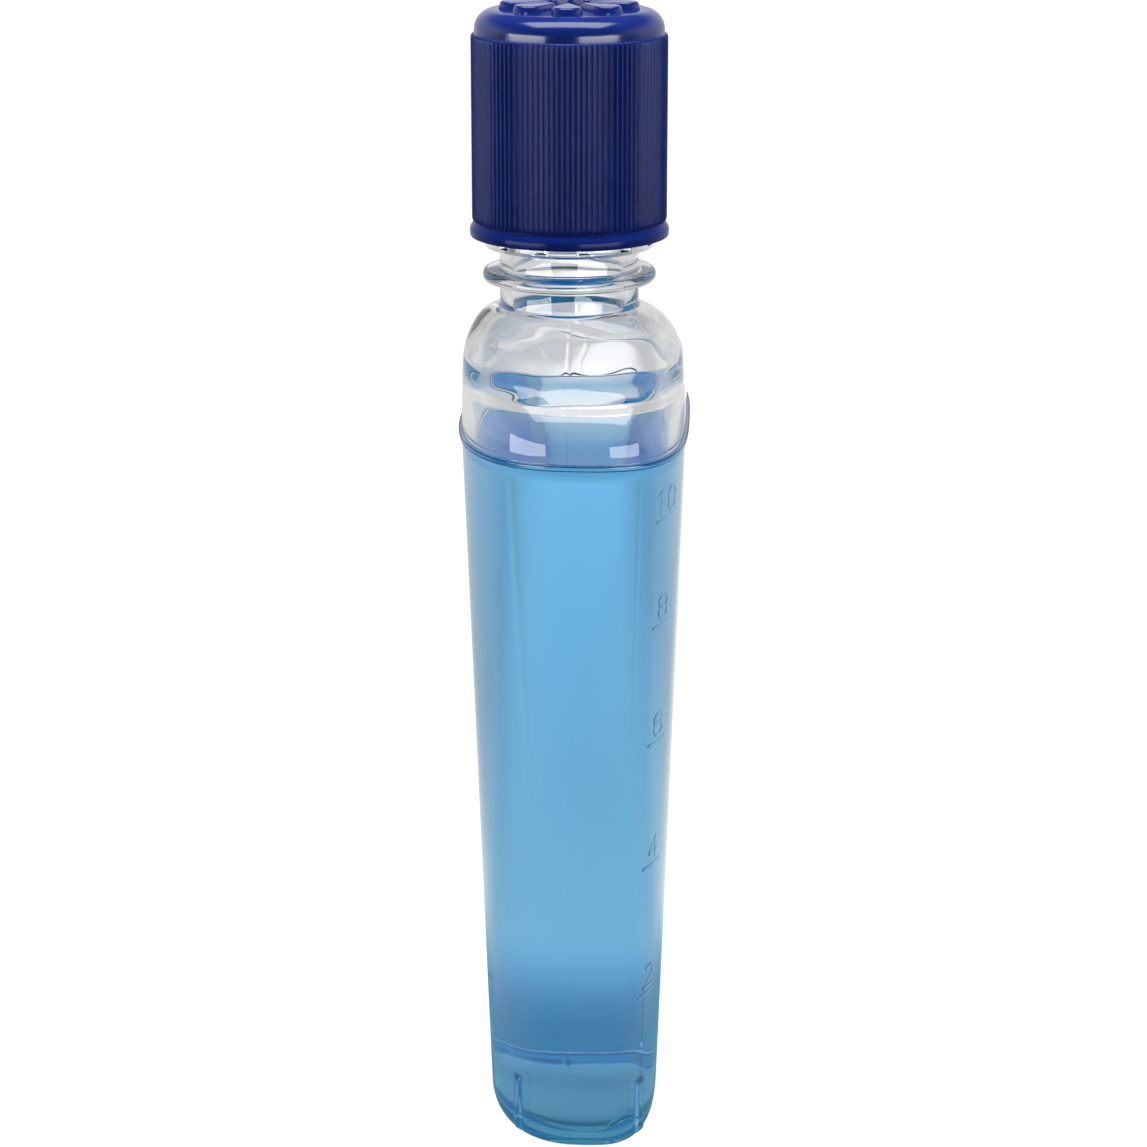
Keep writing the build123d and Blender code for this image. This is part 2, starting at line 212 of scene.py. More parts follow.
def mark_sharp(mesh, degrees):
    """Keeps the edges sharp where faces meet at more than this angle."""
    mesh.set_sharp_from_angle(angle=math.radians(degrees))


def fan(ring, z, centre=(0.0, 0.0), shares=(0.97, 0.85, 0.6, 0.3)):
    """Rings shrinking from a ring towards a centre at height z."""
    c = np.array(centre)
    return [at(c + (ring[:, :2] - c) * s, z) for s in shares]


# ---------------------------------------------------------------- lower shell
def dressed(ring, z):
    """Adds the mould seam and the heel ribs to a ring of the lower shell's outside."""
    x, y = ring[:, 0], ring[:, 1]
    end = np.abs(y) > 8
    out = SEAM_PROUD * bump(x, SEAM_X, 0.1, 0.35) * end
    low, high = HEEL_RIB_Z
    tall = max(0.0, min(1.0, (z - low) / 1.0, (high - z) / 1.0))
    for rib_x in HEEL_RIB_X:
        out = out + HEEL_RIB_PROUD * tall * bump(x, rib_x, HEEL_RIB_W / 2 - 0.25, 0.35) * end
    return moved_out(ring, out)


def heel_heights(foot, radius, steps=36):
    """Heights that divide a heel's quarter circle into equal angles."""
    return [foot + radius * (1 - math.cos(math.pi / 2 * k / steps)) for k in range(steps + 1)]


push_up = outline(FOOT_X - HEEL_X - PUSH_UP_INSET, FOOT_Y - HEEL_Y - PUSH_UP_INSET)
rings = list(reversed(fan(at(push_up, 0), PUSH_UP, shares=(0.93, 0.8, 0.6, 0.35, 0.15))))
for share, z in ((0.985, PUSH_UP * 0.9), (1.0, PUSH_UP * 0.55), (1.01, 0.12), (1.03, 0.0)):
    rings.append(at(push_up * share, z))
for z in heel_heights(0.0, HEEL_Y):
    rings.append(dressed(at(body_outline(z), z), z))
for z in np.concatenate((np.linspace(HEEL_Y, 20.0, 28)[1:], np.linspace(20.0, RIM_Z - FLANGE - 0.25, 48)[1:])):
    rings.append(dressed(at(body_outline(z), z), z))
wall = body_outline(RIM_Z)
flange_bottom = RIM_Z - FLANGE
flange_start = len(rings)
for out_by, z in ((0.01, flange_bottom - 0.08), (0.08, flange_bottom - 0.01), (0.2, flange_bottom),
                  (0.45, flange_bottom), (0.57, flange_bottom + 0.03), (RIM_PROUD, flange_bottom + 0.22),
                  (RIM_PROUD, RIM_Z)):
    rings.append(moved_out(at(wall, z), np.full(AROUND, out_by)))
weld = len(rings) - 1
rings.append(at(body_outline(RIM_Z, WALL, FLOOR), RIM_Z))
for z in np.linspace(RIM_Z - 2, FLOOR + CAVITY_HEEL_Y, 40):
    rings.append(at(body_outline(z, WALL, FLOOR), z))
for z in reversed(heel_heights(FLOOR, CAVITY_HEEL_Y)[:-1]):
    rings.append(at(body_outline(z, WALL, FLOOR), z))
rings += fan(rings[-1], FLOOR)
# the bands in dark are the flange's underside and lower corner, which take painted shade
lower_shell = surface("lower_shell_body", rings, start=(0, 0, PUSH_UP), end=(0, 0, FLOOR), gap=weld,
                      dark=(flange_start + 2, flange_start + 3, flange_start + 4))

# ---------------------------------------------------------------- upper shell
def ridge_height(ring, z, start_z, proud):
    """Height of a helical ridge over a ring, by angle about the neck."""
    angle = np.arctan2(ring[:, 1], ring[:, 0]) % (2 * np.pi)
    height = np.zeros(len(ring))
    for k in (0, 1):
        turn = angle / (2 * np.pi) + k
        middle = start_z + PITCH * turn
        away = np.abs(z - middle)
        profile = np.clip((1.1 - away) / 0.6, 0, 1)
        profile = profile * profile * (3 - 2 * profile)
        ends = np.clip(turn / 0.05, 0, 1) * np.clip((TURNS - turn) / 0.05, 0, 1)
        height = np.maximum(height, profile * ends)
    return proud * height


def shoulder_heights(top_z, steps=56):
    """Heights up the shoulder, closer together near its top."""
    return [END_SHOULDER_Z + (top_z - END_SHOULDER_Z) * math.sin(math.pi / 2 * k / steps) for k in range(steps + 1)]


rings = []
flange_top = RIM_Z + FLANGE
for out_by, z in ((RIM_PROUD, RIM_Z), (RIM_PROUD, flange_top - 0.2), (0.57, flange_top - 0.03), (0.5, flange_top),
                  (0.2, flange_top), (0.08, flange_top + 0.01), (0.01, flange_top + 0.08)):
    rings.append(moved_out(at(wall, z), np.full(AROUND, out_by)))
for z in list(np.linspace(RIM_Z + FLANGE + 0.3, END_SHOULDER_Z, 6)) + shoulder_heights(NECK_ROOT_Z)[1:]:
    ring = at(shoulder_outline(z, NECK_ROOT_R, NECK_ROOT_Z), z)
    seam = SEAM_PROUD * bump(ring[:, 0], SEAM_X, 0.1, 0.35) * (np.abs(ring[:, 1]) > 16.5)
    rings.append(moved_out(ring, seam))
for r, z in ((15.03, 180.85), (14.88, 181.0), (14.79, 181.3), (NECK_R, 181.9), (NECK_R, 183.4), (NECK_R, 185.2),
             (14.8, 185.7), (15.0, 185.98), (15.3, 186.08)):
    rings.append(at(circle(r), z))
half = RING_H / 2
for k in range(13):
    turn = -math.pi / 2 + math.pi * k / 12
    rings.append(at(circle(RING_R - 1.05 + 1.05 * math.cos(turn) ** 0.8), RING_Z + half + half * math.sin(turn)))
for r, z in ((15.3, 188.62), (15.0, 188.72), (14.8, 189.0), (NECK_R, 189.5)):
    rings.append(at(circle(r), z))
for z in np.linspace(190.5, LIP_Z - 0.8, 110):
    ring = at(circle(NECK_R), z)
    rings.append(at(circle(1.0) * (NECK_R + ridge_height(ring, z, THREAD_Z, CREST_R - NECK_R)).reshape(-1, 1), z))
for r, z in ((NECK_R - 0.05, LIP_Z - 0.45), (NECK_R - 0.25, LIP_Z - 0.15), (NECK_R - 0.6, LIP_Z),
             (BORE_R + 0.5, LIP_Z), (BORE_R + 0.15, LIP_Z - 0.15), (BORE_R, LIP_Z - 0.5)):
    rings.append(at(circle(r), z))
for z in np.linspace(LIP_Z - 2, NECK_ROOT_Z - WALL + 1.2, 14):
    rings.append(at(circle(BORE_R), z))
inner_top = NECK_ROOT_Z - WALL
for r, z in ((BORE_R + 0.1, inner_top + 0.7), (BORE_R + 0.35, inner_top + 0.25), (BORE_R + BORE_FLARE, inner_top)):
    rings.append(at(circle(r), z))
for z in shoulder_heights(inner_top)[-2::-1] + [157.2, 156.6, RIM_Z]:
    rings.append(at(shoulder_outline(z, BORE_R + BORE_FLARE, inner_top, WALL), z))
# bands 1 and 2, the flange's upper corner, take painted shade
upper_shell = surface("upper_shell_body", rings, dark=(1, 2))

# ---------------------------------------------------------------- liquid
rings = fan(at(body_outline(FLOOR, WALL, FLOOR), 0), FLOOR - OVER)[::-1]
for z in heel_heights(FLOOR, CAVITY_HEEL_Y):
    sunk = max(z, FLOOR) - OVER * (z < FLOOR + 0.5)
    rings.append(moved_out(at(body_outline(z, WALL, FLOOR), sunk), np.full(AROUND, OVER)))
for z in np.linspace(FLOOR + CAVITY_HEEL_Y, LIQUID_Z + 0.35, 44)[1:]:
    rings.append(moved_out(at(body_outline(z, WALL, FLOOR), z), np.full(AROUND, OVER)))
brim = body_outline(LIQUID_Z, WALL, FLOOR)
for set_in, up in ((0.05, 0.22), (0.15, 0.13), (0.3, 0.07), (0.5, 0.03), (0.8, 0.01), (1.2, 0.0)):
    rings.append(moved_out(at(brim, LIQUID_Z + up), np.full(AROUND, -set_in)))
rings += fan(at(brim, 0), LIQUID_Z, shares=(0.85, 0.7, 0.5, 0.25))
liquid = surface("liquid", rings, start=(0, 0, FLOOR - OVER), end=(0, 0, LIQUID_Z))

# ---------------------------------------------------------------- scale marks on the corner
facing = np.array((math.cos(math.radians(SCALE_TURN)), math.sin(math.radians(SCALE_TURN))))
reading = np.array((-facing[1], facing[0]))
walls = {}


def on_wall(u, z, out_by):
    """The wall's point at u along the reading direction and height z, moved out of the wall."""
    key = (round(z * 4) / 4, out_by)
    if key not in walls:
        ring = moved_out(at(body_outline(key[0]), 0), np.full(AROUND, out_by))[:, :2]
        near = ring[ring @ facing > 8]
        order = np.argsort(near @ reading)
        walls[key] = ((near @ reading)[order], (near @ facing)[order])
    x, y = reading * u + facing * np.interp(u, *walls[key])
    return (x, y, z)


def slot_outline(a, b, width, steps=8):
    """Points round a round-ended stroke from a to b, in (u, z)."""
    lean = math.atan2(b[1] - a[1], b[0] - a[0])
    points = []
    for centre, first in ((b, -math.pi / 2), (a, math.pi / 2)):
        for k in range(steps + 1):
            turn = lean + first + math.pi * k / steps
            points.append((centre[0] + width / 2 * math.cos(turn), centre[1] + width / 2 * math.sin(turn)))
    return points


def scale_piece():
    """The scale's lines and numerals as low pads of round-ended strokes on the wall."""
    verts, faces = [], []
    strokes = []
    for ounces, height in SCALE:
        half_line = LINE_LENGTH / 2 - LINE_WIDTH / 2
        strokes.append(((SCALE_SHIFT - half_line, height), (SCALE_SHIFT + half_line, height), LINE_WIDTH))
        text = str(ounces)
        left = SCALE_SHIFT - (len(text) * DIGIT_W + (len(text) - 1) * DIGIT_GAP) / 2
        for place, digit in enumerate(text):
            start = left + place * (DIGIT_W + DIGIT_GAP)
            points = [(start + DIGIT_W * u, height + DIGIT_RISE + DIGIT_H * v) for u, v in DIGITS[digit]]
            strokes += [(a, b, DIGIT_STROKE) for a, b in zip(points, points[1:])]
    for a, b, width in strokes:
        around = slot_outline(a, b, width)
        first = len(verts)
        n = len(around)
        levels = ((1.0, -0.25), (1.0, 0.01), (0.82, 0.09), (0.5, 0.13))
        for share, out_by in levels:
            inner = slot_outline(a, b, width * share)
            verts += [on_wall(u, z, out_by) for u, z in inner]
        for level in range(len(levels) - 1):
            for j in range(n):
                k = (j + 1) % n
                base = first + level * n
                faces.append((base + j, base + k, base + n + k, base + n + j))
        faces.append(tuple(reversed(range(first, first + n))))
        faces.append(tuple(range(first + (len(levels) - 1) * n, first + len(levels) * n)))
    mesh = bpy.data.meshes.new("scale_marks")
    mesh.from_pydata([tuple(MM * c for c in v) for v in verts], [], faces)
    mesh.update()
    mesh.shade_smooth()
    mark_sharp(mesh, 40)
    piece = bpy.data.objects.new("scale_marks", mesh)
    bpy.context.scene.collection.objects.link(piece)
    return piece


scale_marks = scale_piece()

# ---------------------------------------------------------------- inner cap
CAP_AROUND = FLUTES * 40
cap_angle = np.linspace(0, 2 * np.pi, CAP_AROUND, endpoint=False)
cap_dir = np.stack((np.cos(cap_angle), np.sin(cap_angle)), axis=1)


def from_flute(angle):
    """Angle to the nearest flute's middle."""
    pitch = 2 * np.pi / FLUTES
    return (angle - math.radians(FLUTE_START) + pitch / 2) % pitch - pitch / 2


def cut_radius(angle, centre_r, r):
    """Radius at which a round groove or spline meets this angle, or a large number outside it."""
    off = from_flute(angle)
    inside_it = np.abs(centre_r * np.sin(off)) < r
    reach = np.sqrt(np.maximum(r**2 - (centre_r * np.sin(off)) ** 2, 0))
    return np.where(inside_it, centre_r * np.cos(off) - reach, 1e3)


centre_r = CAP_R + FLUTE_R - FLUTE_DEPTH
hard = np.minimum(CAP_R, cut_radius(cap_angle, centre_r, FLUTE_R))
fluted = (np.roll(hard, 1) + 2 * hard + np.roll(hard, -1)) / 4


def cap_wall(share=1.0):
    """Radius of the cap's wall with its flutes cut to a share of their depth."""
    return CAP_R - (CAP_R - fluted) * share


def ring_of(radii, z, direction):
    """A ring at height z with a radius for each direction."""
    return np.column_stack((direction * np.asarray(radii).reshape(-1, 1), np.full(len(direction), z)))


full = np.ones(CAP_AROUND)
rings = [ring_of(full * r, CAP_TOP, cap_dir) for r in (1.0, 5.0, 10.0, 15.0, 16.6)]
for set_in, down in ((0.42, 0.02), (0.2, 0.12), (0.06, 0.28), (0.0, 0.5)):
    rings.append(ring_of(cap_wall() - set_in, CAP_TOP - down, cap_dir))
for z in np.linspace(CAP_TOP - 1.5, CAP_BOTTOM + CAP_LIP + 0.6, 14):
    rings.append(ring_of(cap_wall(), z, cap_dir))
for share, up in ((0.97, 0.3), (0.8, 0.1), (0.45, 0.0), (0.0, -0.03)):
    rings.append(ring_of(cap_wall(share), CAP_BOTTOM + CAP_LIP + up, cap_dir))
for set_in, up in ((0.0, 0.4), (0.04, 0.24), (0.14, 0.08), (0.3, 0.0)):
    rings.append(ring_of(cap_wall(0.0) - set_in, CAP_BOTTOM + up, cap_dir))
for r, z in ((16.78, CAP_BOTTOM), (16.65, CAP_BOTTOM + 0.08), (CAP_INNER_R, CAP_BOTTOM + 0.3)):
    rings.append(ring_of(full * r, z, cap_dir))
for z in np.linspace(CAP_BOTTOM + 1.0, CEILING_Z - 1.0, 90):
    ridge = ridge_height(ring_of(full, z, cap_dir), z, THREAD_Z - CAP_DROP, CAP_INNER_R - CAP_CREST_R)
    rings.append(ring_of(CAP_INNER_R - ridge, z, cap_dir))
for r, z in ((CAP_INNER_R, CEILING_Z - 0.3), (CAP_INNER_R - 0.15, CEILING_Z), (15.0, CEILING_Z), (8.0, CEILING_Z),
             (2.0, CEILING_Z)):
    rings.append(ring_of(full * r, z, cap_dir))
inner_cap = surface("inner_cap_body", rings, start=(0, 0, CAP_TOP), end=(0, 0, CEILING_Z), smooth_angle=45)

# ---------------------------------------------------------------- jigger cap
JIG_AROUND = RIBS * 8
jig_angle = np.linspace(0, 2 * np.pi, JIG_AROUND, endpoint=False)
jig_dir = np.stack((np.cos(jig_angle), np.sin(jig_angle)), axis=1)
ribs = RIB_DEPTH * (0.5 + 0.5 * np.cos(RIBS * jig_angle)) ** 0.75
ones = np.ones(JIG_AROUND)


def petal_height(r):
    """Height of the rosette over the dome at radius r, for every angle of the cap."""
    pitch = 2 * np.pi / PETALS
    off = (jig_angle + pitch / 2) % pitch - pitch / 2
    across = np.abs(r * np.sin(off))
    along = r * np.cos(off) - PETAL_IN_X
    r1, r2, h = PETAL_IN_R, PETAL_OUT_R, PETAL_OUT_X - PETAL_IN_X
    b = (r1 - r2) / h
    a = math.sqrt(1 - b * b)
    k = -b * across + a * along
    d = np.where(k < 0, np.hypot(across, along) - r1,
                 np.where(k > a * h, np.hypot(across, along - h) - r2, across * a + along * b - r1))
    t = np.clip((0.12 - d) / 0.62, 0, 1)
    lift = np.sqrt(1 - (1 - t) ** 2)
    return (PETAL_TOP - DOME_TOP) * lift


rings = []
for r in np.concatenate((np.linspace(0.6, 3.6, 6), np.arange(3.8, 14.9, 0.17))):
    ring = ring_of(ones * r, DOME_TOP, jig_dir)
    ring[:, 2] += petal_height(r)
    rings.append(ring)
for k in range(0, 15):
    turn = math.pi / 2 * k / 14
    rings.append(ring_of(ones * (DOME_R - DOME_ROUND + DOME_ROUND * math.sin(turn)),
                         DOME_TOP - DOME_ROUND + DOME_ROUND * math.cos(turn), jig_dir))
valley = RIB_R - RIB_DEPTH
rings.append(ring_of(ones * DOME_R, RIB_END + 0.12, jig_dir))
for share, down in ((0.05, 0.0), (0.45, 0.08), (0.8, 0.3), (0.95, 0.6), (1.0, 1.0)):
    rings.append(ring_of(DOME_R + (valley + ribs - DOME_R) * share, RIB_END - down, jig_dir))
for z in np.linspace(RIB_END - 3, RIB_START + 1.4, 24):
    rings.append(ring_of(valley + ribs, z, jig_dir))
for share, z in ((1.0, RIB_START + 0.7), (0.85, RIB_START + 0.35), (0.5, RIB_START + 0.12), (0.12, RIB_START)):
    rings.append(ring_of(valley + ribs * share, z, jig_dir))
for r, z in ((20.28, 198.72), (20.55, 198.3), (20.8, 197.86), (20.98, 197.55), (21.07, 197.25), (JIG_FLANGE_R, 196.9),
             (JIG_FLANGE_R, 196.2), (21.06, 195.92), (20.95, 195.77), (20.75, JIG_BOTTOM), (18.7, JIG_BOTTOM),
             (18.5, 195.78), (JIG_BORE, 196.0), (JIG_BORE, 196.5)):
    rings.append(ring_of(ones * r, z, jig_dir))


def jig_bore(share):
    """Radius of the outer cap's bore with its splines raised to a share of their height."""
    cut = np.minimum(JIG_BORE, cut_radius(jig_angle, centre_r, SPLINE_R))
    return JIG_BORE - (JIG_BORE - cut) * share


for share, z in ((0.0, 196.68), (0.5, 196.75), (0.9, 196.95), (1.0, 197.3), (1.0, 200.0), (1.0, 205.0), (1.0, 210.0),
                 (1.0, STEP_Z - 0.4), (1.0, STEP_Z)):
    rings.append(ring_of(jig_bore(share), z, jig_dir))
for r, z in ((CUP_R + 0.1, STEP_Z), (CUP_R, STEP_Z + 0.1), (CUP_R, 218.0), (CUP_R, 228.0), (CUP_R, CUP_TOP - 1.2),
             (CUP_R - 0.1, CUP_TOP - 0.7), (CUP_R - 0.4, CUP_TOP - 0.25), (CUP_R - 1.0, CUP_TOP), (12.0, CUP_TOP),
             (6.0, CUP_TOP), (1.5, CUP_TOP)):
    rings.append(ring_of(ones * r, z, jig_dir))
jigger = surface("jigger_cap_body", rings, start=(0, 0, DOME_TOP), end=(0, 0, CUP_TOP), smooth_angle=50)


# ---------------------------------------------------------------- materials
def new_material(name):
    """A node material, its nodes and links, and its shader."""
    mat = bpy.data.materials.new(name)
    mat.use_nodes = True
    nodes, links = mat.node_tree.nodes, mat.node_tree.links
    return mat, nodes, links, nodes["Principled BSDF"]


def noise(nodes, links, scale, detail=3.0, roughness=0.5, stretch=(1, 1, 1)):
    """Noise in the object's own space, in features per metre."""
    where = nodes.new("ShaderNodeTexCoord")
    place = nodes.new("ShaderNodeMapping")
    place.inputs["Scale"].default_value = stretch
    tex = nodes.new("ShaderNodeTexNoise")
    tex.inputs["Scale"].default_value = scale
    tex.inputs["Detail"].default_value = detail
    tex.inputs["Roughness"].default_value = roughness
    links.new(where.outputs["Object"], place.inputs["Vector"])
    links.new(place.outputs["Vector"], tex.inputs["Vector"])
    return tex


def ramp(nodes, links, source, stops):
    """A colour ramp through (position, colour) stops."""
    r = nodes.new("ShaderNodeValToRGB")
    while len(r.color_ramp.elements) < len(stops):
        r.color_ramp.elements.new(0.5)
    for element, (position, color) in zip(r.color_ramp.elements, stops):
        element.position = position
        element.color = (*color, 1)
    links.new(source, r.inputs["Fac"])
    return r


def spread(nodes, links, source, low, high):
    """The source's range 0 to 1, spread over low to high."""
    m = nodes.new("ShaderNodeMapRange")
    m.inputs["To Min"].default_value = low
    m.inputs["To Max"].default_value = high
    links.new(source, m.inputs["Value"])
    return m


def eased(nodes, links, source, start, stop, low, high):
    """A smooth step from low at start to high at stop."""
    m = spread(nodes, links, source, low, high)
    m.interpolation_type = "SMOOTHSTEP"
    m.inputs["From Min"].default_value = start
    m.inputs["From Max"].default_value = stop
    return m


def product(nodes, links, a, b):
    """The product of two sockets."""
    m = nodes.new("ShaderNodeMath")
    m.operation = "MULTIPLY"
    links.new(a, m.inputs[0])
    links.new(b, m.inputs[1])
    return m


def relief(nodes, links, bsdf, source, strength, distance):
    """A bump on the shader from a height socket."""
    b = nodes.new("ShaderNodeBump")
    b.inputs["Strength"].default_value = strength
    b.inputs["Distance"].default_value = distance
    links.new(source, b.inputs["Height"])
    links.new(b.outputs["Normal"], bsdf.inputs["Normal"])
    return b


def srgb(r, g, b):
    """A colour in 0 to 255 as the linear colour that the shaders take."""
    return tuple((c / 255 / 12.92) if c / 255 <= 0.04045 else ((c / 255 + 0.055) / 1.055) ** 2.4 for c in (r, g, b))


def clear_plastic(name, ior, light, dark, rough, wave):
    """Clear plastic between two tints, with ripples that are wave times as deep over the shoulder."""
    mat, nodes, links, bsdf = new_material(name)
    bsdf.inputs["Transmission Weight"].default_value = 1.0
    bsdf.inputs["IOR"].default_value = ior
    cloud = noise(nodes, links, 60.0)
    shade = ramp(nodes, links, cloud.outputs["Fac"], ((0.3, dark), (0.7, light)))
    links.new(shade.outputs["Color"], bsdf.inputs["Base Color"])
    links.new(spread(nodes, links, cloud.outputs["Fac"], *rough).outputs["Result"], bsdf.inputs["Roughness"])
    ripple = noise(nodes, links, 55.0, 1.0, 0.4, (1, 0.5, 1.6))
    where = nodes.new("ShaderNodeTexCoord")
    parts = nodes.new("ShaderNodeSeparateXYZ")
    links.new(where.outputs["Object"], parts.inputs["Vector"])
    tall = eased(nodes, links, parts.outputs["Z"], 0.1655, 0.1705, 0.12, wave)
    swell = product(nodes, links, ripple.outputs["Fac"], tall.outputs["Result"])
    relief(nodes, links, bsdf, swell.outputs["Value"], 1.0, 0.001)
    return mat


shell_clear = clear_plastic("shell_clear", 1.52, (0.99, 0.995, 0.995), (0.965, 0.975, 0.98), (0.0, 0.03), 1.8)
cap_clear = clear_plastic("cap_clear", 1.5, (0.97, 0.98, 0.99), (0.93, 0.95, 0.965), (0.02, 0.08), 0.3)

liquid_blue, nodes, links, bsdf = new_material("liquid_blue")
bsdf.inputs["Transmission Weight"].default_value = 1.0
bsdf.inputs["IOR"].default_value = 1.333
bsdf.inputs["Roughness"].default_value = 0.0
cloud = noise(nodes, links, 12.0)
shade = ramp(nodes, links, cloud.outputs["Fac"], ((0.3, (0.97, 0.985, 1.0)), (0.7, (1.0, 1.0, 1.0))))
links.new(shade.outputs["Color"], bsdf.inputs["Base Color"])
# painted light: the drink glows faintly blue though it is no lamp
bsdf.inputs["Emission Color"].default_value = (0.02, 0.30, 0.60, 1)
bsdf.inputs["Emission Strength"].default_value = 0.055
drink = nodes.new("ShaderNodeVolumeAbsorption")
drink.inputs["Color"].default_value = (0.02, 0.64, 0.90, 1)
drink.inputs["Density"].default_value = 21.0
links.new(drink.outputs["Volume"], nodes["Material Output"].inputs["Volume"])

cap_blue, nodes, links, bsdf = new_material("cap_blue")
cloud = noise(nodes, links, 140.0, 4.0)
shade = ramp(nodes, links, cloud.outputs["Fac"], ((0.3, srgb(24, 52, 150)), (0.7, srgb(30, 60, 164))))
links.new(shade.outputs["Color"], bsdf.inputs["Base Color"])
links.new(spread(nodes, links, cloud.outputs["Fac"], 0.12, 0.2).outputs["Result"], bsdf.inputs["Roughness"])
where = nodes.new("ShaderNodeTexCoord")
parts = nodes.new("ShaderNodeSeparateXYZ")
links.new(where.outputs["Object"], parts.inputs["Vector"])
polish = spread(nodes, links, parts.outputs["Z"], 0.1, 0.8)
polish.inputs["From Min"].default_value = 0.237
polish.inputs["From Max"].default_value = 0.2395
links.new(polish.outputs["Result"], bsdf.inputs["Specular IOR Level"])
grain = noise(nodes, links, 900.0, 2.0)
relief(nodes, links, bsdf, grain.outputs["Fac"], 0.08, 0.0002)
bsdf.inputs["IOR"].default_value = 1.45

foam, nodes, links, bsdf = new_material("liner_foam")
cells = noise(nodes, links, 1500.0, 3.0, 0.7)
shade = ramp(nodes, links, cells.outputs["Fac"], ((0.3, srgb(214, 216, 220)), (0.7, srgb(236, 237, 240))))
links.new(shade.outputs["Color"], bsdf.inputs["Base Color"])
links.new(spread(nodes, links, cells.outputs["Fac"], 0.6, 0.8).outputs["Result"], bsdf.inputs["Roughness"])
relief(nodes, links, bsdf, cells.outputs["Fac"], 0.3, 0.0002)

# painted shade: a near-black material on the flange's corners and underside stands for the dark lines that the clear
# rim's edges show
painted_flange_shade, nodes, links, bsdf = new_material("painted_flange_shade")
grey = noise(nodes, links, 300.0)
shade = ramp(nodes, links, grey.outputs["Fac"], ((0.3, srgb(16, 20, 26)), (0.7, srgb(28, 34, 42))))
links.new(shade.outputs["Color"], bsdf.inputs["Base Color"])
links.new(spread(nodes, links, grey.outputs["Fac"], 0.3, 0.45).outputs["Result"], bsdf.inputs["Roughness"])

for piece, mat, body, slot in (
    (lower_shell, shell_clear, "bottle", "clear_shell"),
    (upper_shell, shell_clear, "bottle", "clear_shell"),
    (scale_marks, shell_clear, "bottle", "clear_shell"),
    (liquid, liquid_blue, "bottle", "clear_shell"),
    (inner_cap, cap_clear, "inner_cap", "clear_cap"),
    (jigger, cap_blue, "outer_cap", "cap_blue"),
):
    piece.data.materials.append(mat)
    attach(piece, body)
lower_shell.data.materials.append(painted_flange_shade)
upper_shell.data.materials.append(painted_flange_shade)
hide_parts("lower_shell")
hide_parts("upper_shell")
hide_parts("inner_cap")
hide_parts("jigger_cap")
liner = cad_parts["cap_liner"]
for place in liner.material_slots:
    place.link = "OBJECT"
    place.material = foam

# ---------------------------------------------------------------- floor, light and camera
def plane(name, size, z):
    """A square of twice the given size at height z, in metres."""
    mesh = bpy.data.meshes.new(name)
    mesh.from_pydata([(-size, -size, z), (size, -size, z), (size, size, z), (-size, size, z)], [], [(0, 1, 2, 3)])
    piece = bpy.data.objects.new(name, mesh)
    bpy.context.scene.collection.objects.link(piece)
    return piece


floor = plane("floor", 6.0, -0.0002)
white, nodes, links, bsdf = new_material("floor_white")
grain = noise(nodes, links, 3.0)
shade = ramp(nodes, links, grain.outputs["Fac"], ((0.3, (0.11, 0.11, 0.11)), (0.7, (0.13, 0.13, 0.13))))
links.new(shade.outputs["Color"], bsdf.inputs["Base Color"])
bsdf.inputs["Roughness"].default_value = 0.8
where = nodes.new("ShaderNodeTexCoord")
parts = nodes.new("ShaderNodeSeparateXYZ")
links.new(where.outputs["Object"], parts.inputs["Vector"])
away = nodes.new("ShaderNodeMath")
away.operation = "ABSOLUTE"
links.new(parts.outputs["X"], away.inputs[0])
along = nodes.new("ShaderNodeMath")
along.operation = "ABSOLUTE"
links.new(parts.outputs["Y"], along.inputs[0])
# the floor is plain white to the camera, and what shines through the flask is its glow by place, which is painted
# light: dim in front and to the sides, with a painted contact shadow near the foot
behind = eased(nodes, links, parts.outputs["Y"], -0.35, 0.0, 0.08, 1.0)
# the glow dims near the foot: a painted contact shadow
foot = eased(nodes, links, parts.outputs["Y"], 0.05, 0.11, 0.34, 0.71)
far = eased(nodes, links, parts.outputs["Y"], 0.11, 0.9, 1.0, 1.6)
wide = eased(nodes, links, away.outputs["Value"], 0.02, 0.14, 1.0, 0.6)
lit = product(nodes, links, behind.outputs["Result"], wide.outputs["Result"])
lit = product(nodes, links, lit.outputs["Value"], foot.outputs["Result"])
lit = product(nodes, links, lit.outputs["Value"], far.outputs["Result"])
seen = nodes.new("ShaderNodeLightPath")
glow = nodes.new("ShaderNodeMath")
glow.operation = "MAXIMUM"
links.new(lit.outputs["Value"], glow.inputs[0])
links.new(spread(nodes, links, seen.outputs["Is Camera Ray"], 0.0, 1.0).outputs["Result"], glow.inputs[1])
links.new(glow.outputs["Value"], bsdf.inputs["Emission Strength"])
# under and beside the foot the floor has the blue of the light that comes down through the drink
clear = eased(nodes, links, along.outputs["Value"], 0.05, 0.12, 0.0, 1.0)
beside = eased(nodes, links, away.outputs["Value"], 0.03, 0.07, 0.0, 1.0)
for other in (beside.outputs["Result"], seen.outputs["Is Camera Ray"]):
    most = nodes.new("ShaderNodeMath")
    most.operation = "MAXIMUM"
    links.new(clear.outputs[0], most.inputs[0])
    links.new(other, most.inputs[1])
    clear = most
cast = ramp(nodes, links, clear.outputs["Value"], ((0.0, (0.18, 0.68, 1.0)), (1.0, (1.0, 1.0, 1.0))))
links.new(cast.outputs["Color"], bsdf.inputs["Emission Color"])
floor.data.materials.append(white)

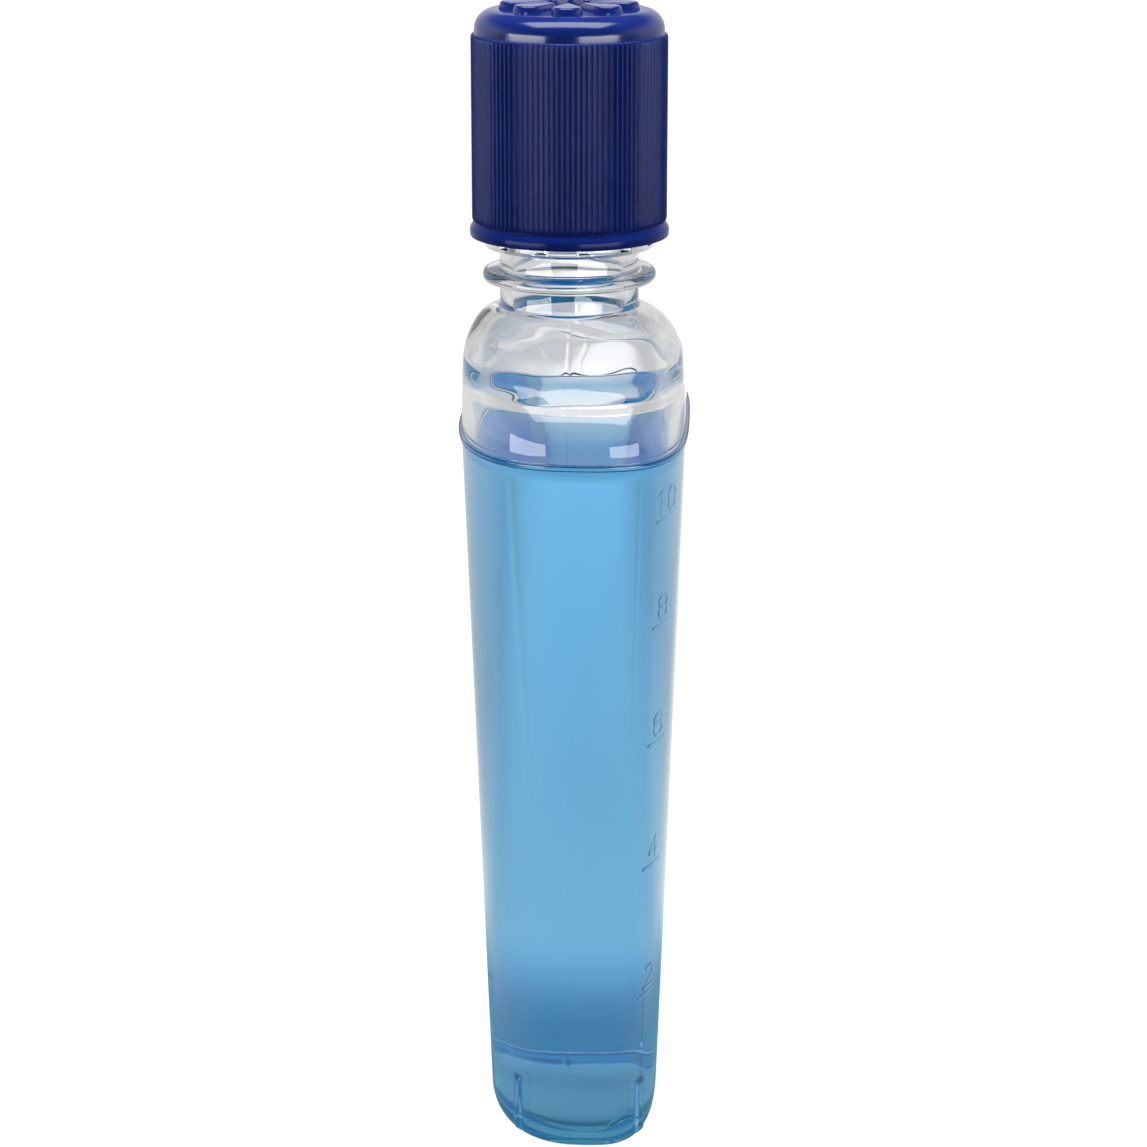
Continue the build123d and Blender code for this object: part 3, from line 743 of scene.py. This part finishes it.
# a white studio that is dim on the side the object is seen from, with softboxes for the gloss
world = bpy.data.worlds.new("studio")
bpy.context.scene.world = world
world.use_nodes = True
nodes, links = world.node_tree.nodes, world.node_tree.links
where = nodes.new("ShaderNodeTexCoord")
parts = nodes.new("ShaderNodeSeparateXYZ")
links.new(where.outputs["Generated"], parts.inputs["Vector"])
front = eased(nodes, links, parts.outputs["Y"], -0.6, 0.2, 0.015, 0.7)
high = eased(nodes, links, parts.outputs["Z"], 0.26, 0.6, 1.0, 0.12)
both = product(nodes, links, front.outputs["Result"], high.outputs["Result"])
seen = nodes.new("ShaderNodeLightPath")
level = nodes.new("ShaderNodeMath")
level.operation = "MAXIMUM"
links.new(both.outputs["Value"], level.inputs[0])
links.new(seen.outputs["Is Camera Ray"], level.inputs[1])
links.new(level.outputs["Value"], nodes["Background"].inputs["Strength"])
nodes["Background"].inputs["Color"].default_value = (1, 1, 1, 1)


def softbox(name, location, target, width, height, radiance, gloss_only):
    """A softbox of the given brightness beside white, which can be one that only shows as gloss."""
    light = bpy.data.lights.new(name, "AREA")
    light.shape = "RECTANGLE"
    light.size = width
    light.size_y = height
    light.energy = math.pi * width * height * radiance
    lamp = bpy.data.objects.new(name, light)
    lamp.location = location
    lamp.rotation_euler = (Vector(target) - Vector(location)).to_track_quat("-Z", "Y").to_euler()
    lamp.visible_diffuse = not gloss_only
    lamp.visible_transmission = False
    lamp.visible_camera = False
    bpy.context.scene.collection.objects.link(lamp)
    return lamp


softbox("softbox_left", (-0.78, -0.64, 0.21), (0, 0, 0.17), 0.9, 0.42, 7.0, True)
softbox("softbox_right", (0.62, -0.78, 0.21), (0, 0, 0.17), 0.9, 0.42, 7.0, True)
softbox("softbox_top", (0.0, -0.15, 1.2), (0, -0.05, 0.2), 1.2, 0.6, 5.0, False)

yaw = math.radians(2.5)
pitch = math.radians(16.4)
FOCAL_PX, IMAGE_PX = 3150.0, 1147.0
AWAY, ASIDE, EYE_Z = 660.0, 0.85, 315.0
camera = bpy.data.cameras.new("camera")
camera.sensor_width = 36.0
camera.lens = camera.sensor_width * FOCAL_PX / IMAGE_PX
eye = bpy.data.objects.new("camera", camera)
eye.location = (MM * (ASIDE * math.cos(yaw) + AWAY * math.sin(yaw)),
                MM * (ASIDE * math.sin(yaw) - AWAY * math.cos(yaw)), MM * EYE_Z)
look = Vector((-math.sin(yaw) * math.cos(pitch), math.cos(yaw) * math.cos(pitch), -math.sin(pitch)))
eye.rotation_euler = look.to_track_quat("-Z", "Y").to_euler()
bpy.context.scene.collection.objects.link(eye)
bpy.context.scene.camera = eye
bpy.context.scene.view_settings.view_transform = "Standard"
bpy.context.scene.cycles.max_bounces = 32
bpy.context.scene.cycles.transmission_bounces = 32
bpy.context.scene.cycles.glossy_bounces = 16
